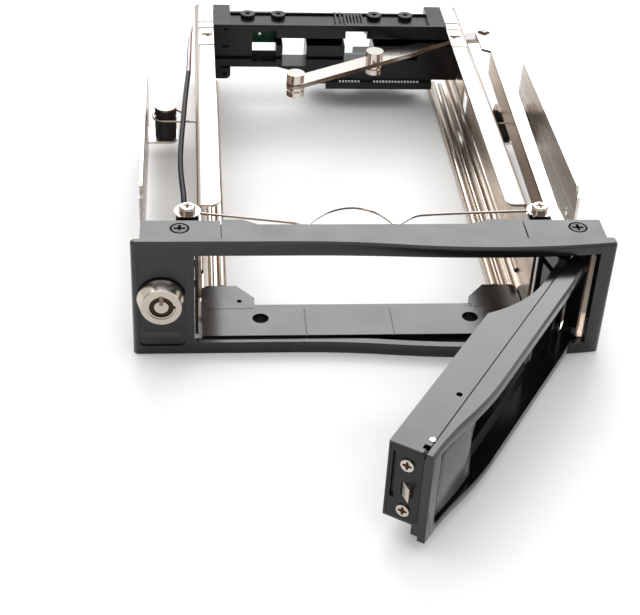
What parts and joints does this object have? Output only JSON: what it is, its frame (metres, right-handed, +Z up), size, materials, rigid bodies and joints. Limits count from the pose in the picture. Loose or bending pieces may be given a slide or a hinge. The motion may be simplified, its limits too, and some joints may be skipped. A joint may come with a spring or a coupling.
{
  "type": "hot swap drive cage",
  "caption": "Trayless hot swap drive cage for a half-height bay: locking swing door, steel rails, link-driven ejector lever and rubber-mounted side plates.",
  "frame": {"origin": "bottom centre of the plane on which the bezel's lip seats against the chassis", "axes": "+X to the right seen from the front, +Y to the rear, +Z up"},
  "size_m": [0.1492, 0.2801, 0.0416],
  "materials": {
    "bezel_black": "satin",
    "black_plastic": "satin",
    "black_steel": "satin",
    "board_green": "satin",
    "bright_steel": "bright",
    "chrome": "polished",
    "clear_plastic": "satin",
    "gold": "bright",
    "grey_plastic": "satin",
    "lead_sleeve": "satin",
    "plated_steel": "satin",
    "rubber": "matte",
    "wire_colours": "satin"
  },
  "bodies": {
    "cage": {"front_bezel": "bezel_black", "left_corner_block": "black_plastic", "right_corner_block": "black_plastic", "bezel_screws": "black_steel", "led_light_bar": "clear_plastic", "led_board": "board_green", "lock_body": "chrome", "lock_clip": "plated_steel", "front_shelf": "black_plastic", "hinge_bracket": "plated_steel", "hinge_pin": "bright_steel", "hinge_spring": "bright_steel", "strike_plate": "plated_steel", "strike_rivets": "bright_steel", "left_rail": "plated_steel", "right_rail": "plated_steel", "left_side_plate": "plated_steel", "right_side_plate": "plated_steel", "plate_screws": "bright_steel", "left_damper": "rubber", "right_damper": "rubber", "damper_caps": "plated_steel", "left_damper_clip": "bright_steel", "right_damper_clip": "bright_steel", "spring_washers": "bright_steel", "spring_screws": "bright_steel", "spring_wire": "bright_steel", "backplane_housing": "black_plastic", "indicator_pcb": "board_green", "connector_pcb": "board_green", "sata_connector": "black_plastic", "sata_contacts": "gold", "rear_ports": "black_plastic", "lever_pivot_screw": "bright_steel", "led_lead": "lead_sleeve", "led_wires": "wire_colours"},
    "door": {"door_frame": "black_plastic", "door_body": "black_plastic", "door_end_cap": "black_plastic", "door_end_screws": "bright_steel", "crank_pin": "bright_steel", "handle_pin": "bright_steel"},
    "handle": {"release_handle": "grey_plastic"},
    "bolt": {"latch_bolt": "bright_steel"},
    "link": {"link_bar": "plated_steel"},
    "lever": {"ejector_lever": "plated_steel", "ejector_rollers": "bright_steel", "lever_pin": "bright_steel"},
    "lock_core": {"lock_plug": "chrome", "lock_cam": "plated_steel"}
  },
  "joints": [
    {"name": "door_hinge", "type": "hinge", "parent": "cage", "child": "door", "pos_m": [0.0582, 0.0057, 0], "axis": [0, 0, 1], "range_deg": [-57.3, 12]},
    {"name": "handle_pivot", "type": "hinge", "parent": "door", "child": "handle", "pos_m": [0.00555, -0.08575, 0.02], "axis": [0, 0, 1], "range_deg": [-25, 0], "stiffness_Nm_per_rad": 0.02},
    {"name": "bolt_slide", "type": "slide", "parent": "door", "child": "bolt", "axis": [0.5402, 0.8415, 0], "range_m": [0, 0.0024]},
    {"name": "link_slide", "type": "slide", "parent": "cage", "child": "link", "axis": [0, 1, 0], "range_m": [-0.00791, 0.00166]},
    {"name": "lever_pivot", "type": "hinge", "parent": "cage", "child": "lever", "pos_m": [0.049, 0.1675, 0], "axis": [0, 0, 1], "range_deg": [-31.21, 6.54]},
    {"name": "lock_turn", "type": "hinge", "parent": "cage", "child": "lock_core", "pos_m": [-0.0655, 0, 0.0208], "axis": [0, 1, 0], "range_deg": [0, 90]}
  ],
  "couplings": [
    {"joint": "link_slide", "follows": "door_hinge", "m_per_rad": 0.0079},
    {"joint": "lever_pivot", "follows": "door_hinge", "ratio": 0.5445},
    {"joint": "bolt_slide", "follows": "handle_pivot", "m_per_rad": -0.0055}
  ]
}
